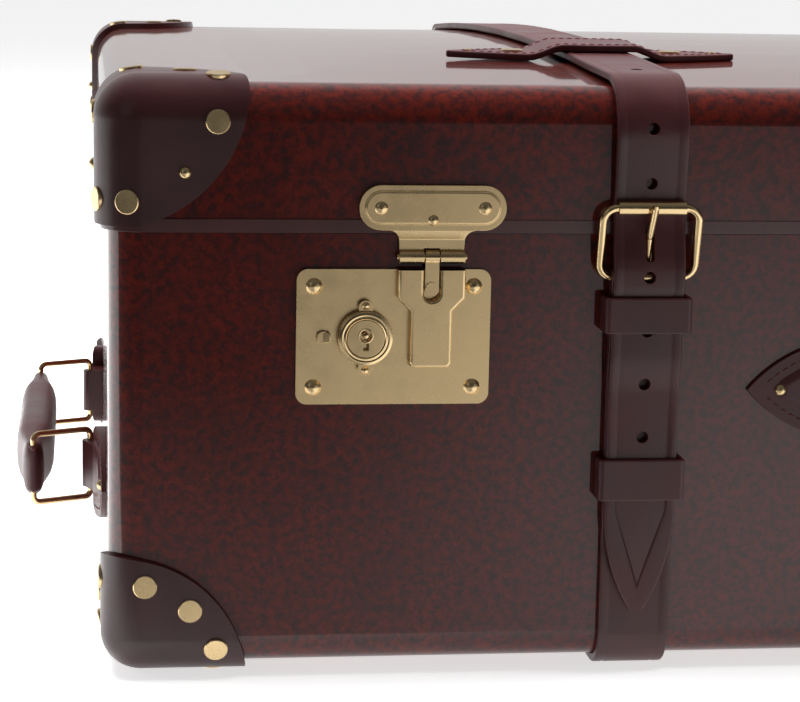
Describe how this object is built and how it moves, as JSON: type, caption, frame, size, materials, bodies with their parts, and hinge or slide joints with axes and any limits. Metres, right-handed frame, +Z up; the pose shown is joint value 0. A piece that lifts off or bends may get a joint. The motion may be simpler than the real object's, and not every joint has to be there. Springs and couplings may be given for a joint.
{
  "type": "suitcase",
  "caption": "Hard suitcase of mottled red fibre with leather corners, strapped belts with buckles, hasp locks, a hinged lid, and leather handles on brass rings.",
  "frame": {"origin": "middle of the whole outline, handles and hinges included, on the surface that the feet stand on", "axes": "+X along the long side to the right as seen from the front, +Y from the front with the locks to the rear with the hinges, +Z up"},
  "size_m": [0.7537, 0.502, 0.2203],
  "materials": {
    "fibre": "gloss",
    "band": "gloss",
    "frame_wood": "satin",
    "lining": "matt",
    "corner_leather": "satin",
    "belt_leather": "satin",
    "grip_leather": "satin",
    "brass": "satin"
  },
  "bodies": {
    "base": {"base_shell": "fibre", "base_frame": "frame_wood", "base_lining": "lining", "base_corner_front_left": "corner_leather", "base_corner_front_right": "corner_leather", "base_corner_rear_left": "corner_leather", "base_corner_rear_right": "corner_leather", "base_corner_rivets": "brass", "base_feet": "brass", "lock_plate_left": "brass", "lock_plate_right": "brass", "lock_plate_rivets": "brass", "base_belt_left": "belt_leather", "base_belt_right": "belt_leather", "billet_left": "belt_leather", "billet_right": "belt_leather", "belt_loops": "belt_leather", "buckle_frame_left": "brass", "buckle_frame_right": "brass", "buckle_tongue_left": "brass", "buckle_tongue_right": "brass", "hinge_base_leaves": "brass", "hinge_pins": "brass", "front_handle_chapes": "belt_leather", "side_handle_chapes": "belt_leather", "handle_rivets": "brass"},
    "lid": {"lid_shell": "fibre", "lid_band": "band", "lid_lining": "lining", "lid_corner_front_left": "corner_leather", "lid_corner_front_right": "corner_leather", "lid_corner_rear_left": "corner_leather", "lid_corner_rear_right": "corner_leather", "lid_corner_rivets": "brass", "lid_corner_pins": "brass", "hasp_plate_left": "brass", "hasp_plate_right": "brass", "hasp_rivets": "brass", "hasp_pins": "brass", "lid_belt_left": "belt_leather", "lid_belt_right": "belt_leather", "lid_keeper_left": "belt_leather", "lid_keeper_right": "belt_leather", "lid_keeper_rivets": "brass", "hinge_lid_leaves": "brass"},
    "hook_left": {"hasp_hook_left": "brass"},
    "hook_right": {"hasp_hook_right": "brass"},
    "barrel_left": {"lock_barrel_left": "brass"},
    "barrel_right": {"lock_barrel_right": "brass"},
    "key_left": {"key_cylinder_left": "brass"},
    "key_right": {"key_cylinder_right": "brass"},
    "roller_left": {"buckle_roller_left": "brass"},
    "roller_right": {"buckle_roller_right": "brass"},
    "front_ring_left": {"front_ring_left": "brass"},
    "front_ring_right": {"front_ring_right": "brass"},
    "front_grip": {"front_grip": "grip_leather"},
    "side_ring_rear": {"side_ring_rear": "brass"},
    "side_ring_front": {"side_ring_front": "brass"},
    "side_grip": {"side_grip": "grip_leather"}
  },
  "joints": [
    {"name": "lid_hinge", "type": "hinge", "parent": "base", "child": "lid", "pos_m": [0.01555, 0.2484, 0.158], "axis": [-1, 0, 0], "range_deg": [0, 100]},
    {"name": "hasp_hook_left_hinge", "type": "hinge", "parent": "lid", "child": "hook_left", "pos_m": [-0.22905, -0.2177, 0.1504], "axis": [-1, 0, 0], "range_deg": [0, 100]},
    {"name": "lock_barrel_left_slide", "type": "slide", "parent": "base", "child": "barrel_left", "axis": [-1, 0, 0], "range_m": [0, 0.0022], "stiffness_N_per_m": 400},
    {"name": "key_cylinder_left_turn", "type": "hinge", "parent": "barrel_left", "child": "key_left", "pos_m": [-0.25175, -0.2146, 0.1222], "axis": [0, 1, 0], "range_deg": [0, 90]},
    {"name": "buckle_roller_left_spin", "type": "hinge", "parent": "base", "child": "roller_left", "pos_m": [-0.15345, -0.22315, 0.1682], "axis": [1, 0, 0], "continuous": true},
    {"name": "hasp_hook_right_hinge", "type": "hinge", "parent": "lid", "child": "hook_right", "pos_m": [0.26015, -0.2177, 0.1504], "axis": [-1, 0, 0], "range_deg": [0, 100]},
    {"name": "lock_barrel_right_slide", "type": "slide", "parent": "base", "child": "barrel_right", "axis": [1, 0, 0], "range_m": [0, 0.0022], "stiffness_N_per_m": 400},
    {"name": "key_cylinder_right_turn", "type": "hinge", "parent": "barrel_right", "child": "key_right", "pos_m": [0.28285, -0.2146, 0.1222], "axis": [0, 1, 0], "range_deg": [0, 90]},
    {"name": "buckle_roller_right_spin", "type": "hinge", "parent": "base", "child": "roller_right", "pos_m": [0.18455, -0.22315, 0.1682], "axis": [1, 0, 0], "continuous": true},
    {"name": "front_ring_left_hinge", "type": "hinge", "parent": "base", "child": "front_ring_left", "pos_m": [-0.06245, -0.2206, 0.1029], "axis": [0, 0, 1], "range_deg": [-90, 40]},
    {"name": "front_ring_right_hinge", "type": "hinge", "parent": "base", "child": "front_ring_right", "pos_m": [0.09355, -0.2206, 0.1029], "axis": [0, 0, 1], "range_deg": [-90, 40]},
    {"name": "front_grip_hinge", "type": "hinge", "parent": "front_ring_left", "child": "front_grip", "pos_m": [-0.05188, -0.24325, 0.1029], "axis": [0, 0, 1], "range_deg": [-40, 90]},
    {"name": "side_ring_rear_hinge", "type": "hinge", "parent": "base", "child": "side_ring_rear", "pos_m": [-0.34595, 0.0919, 0.0445], "axis": [0, 0, 1], "range_deg": [-90, 40]},
    {"name": "side_ring_front_hinge", "type": "hinge", "parent": "base", "child": "side_ring_front", "pos_m": [-0.34595, -0.0641, 0.0445], "axis": [0, 0, 1], "range_deg": [-90, 40]},
    {"name": "side_grip_hinge", "type": "hinge", "parent": "side_ring_rear", "child": "side_grip", "pos_m": [-0.3686, 0.08134, 0.0445], "axis": [0, 0, 1], "range_deg": [-40, 90]}
  ],
  "couplings": [
    {"joint": "front_ring_right_hinge", "follows": "front_ring_left_hinge", "ratio": 1},
    {"joint": "front_grip_hinge", "follows": "front_ring_left_hinge", "ratio": -1},
    {"joint": "side_ring_front_hinge", "follows": "side_ring_rear_hinge", "ratio": 1},
    {"joint": "side_grip_hinge", "follows": "side_ring_rear_hinge", "ratio": -1}
  ]
}
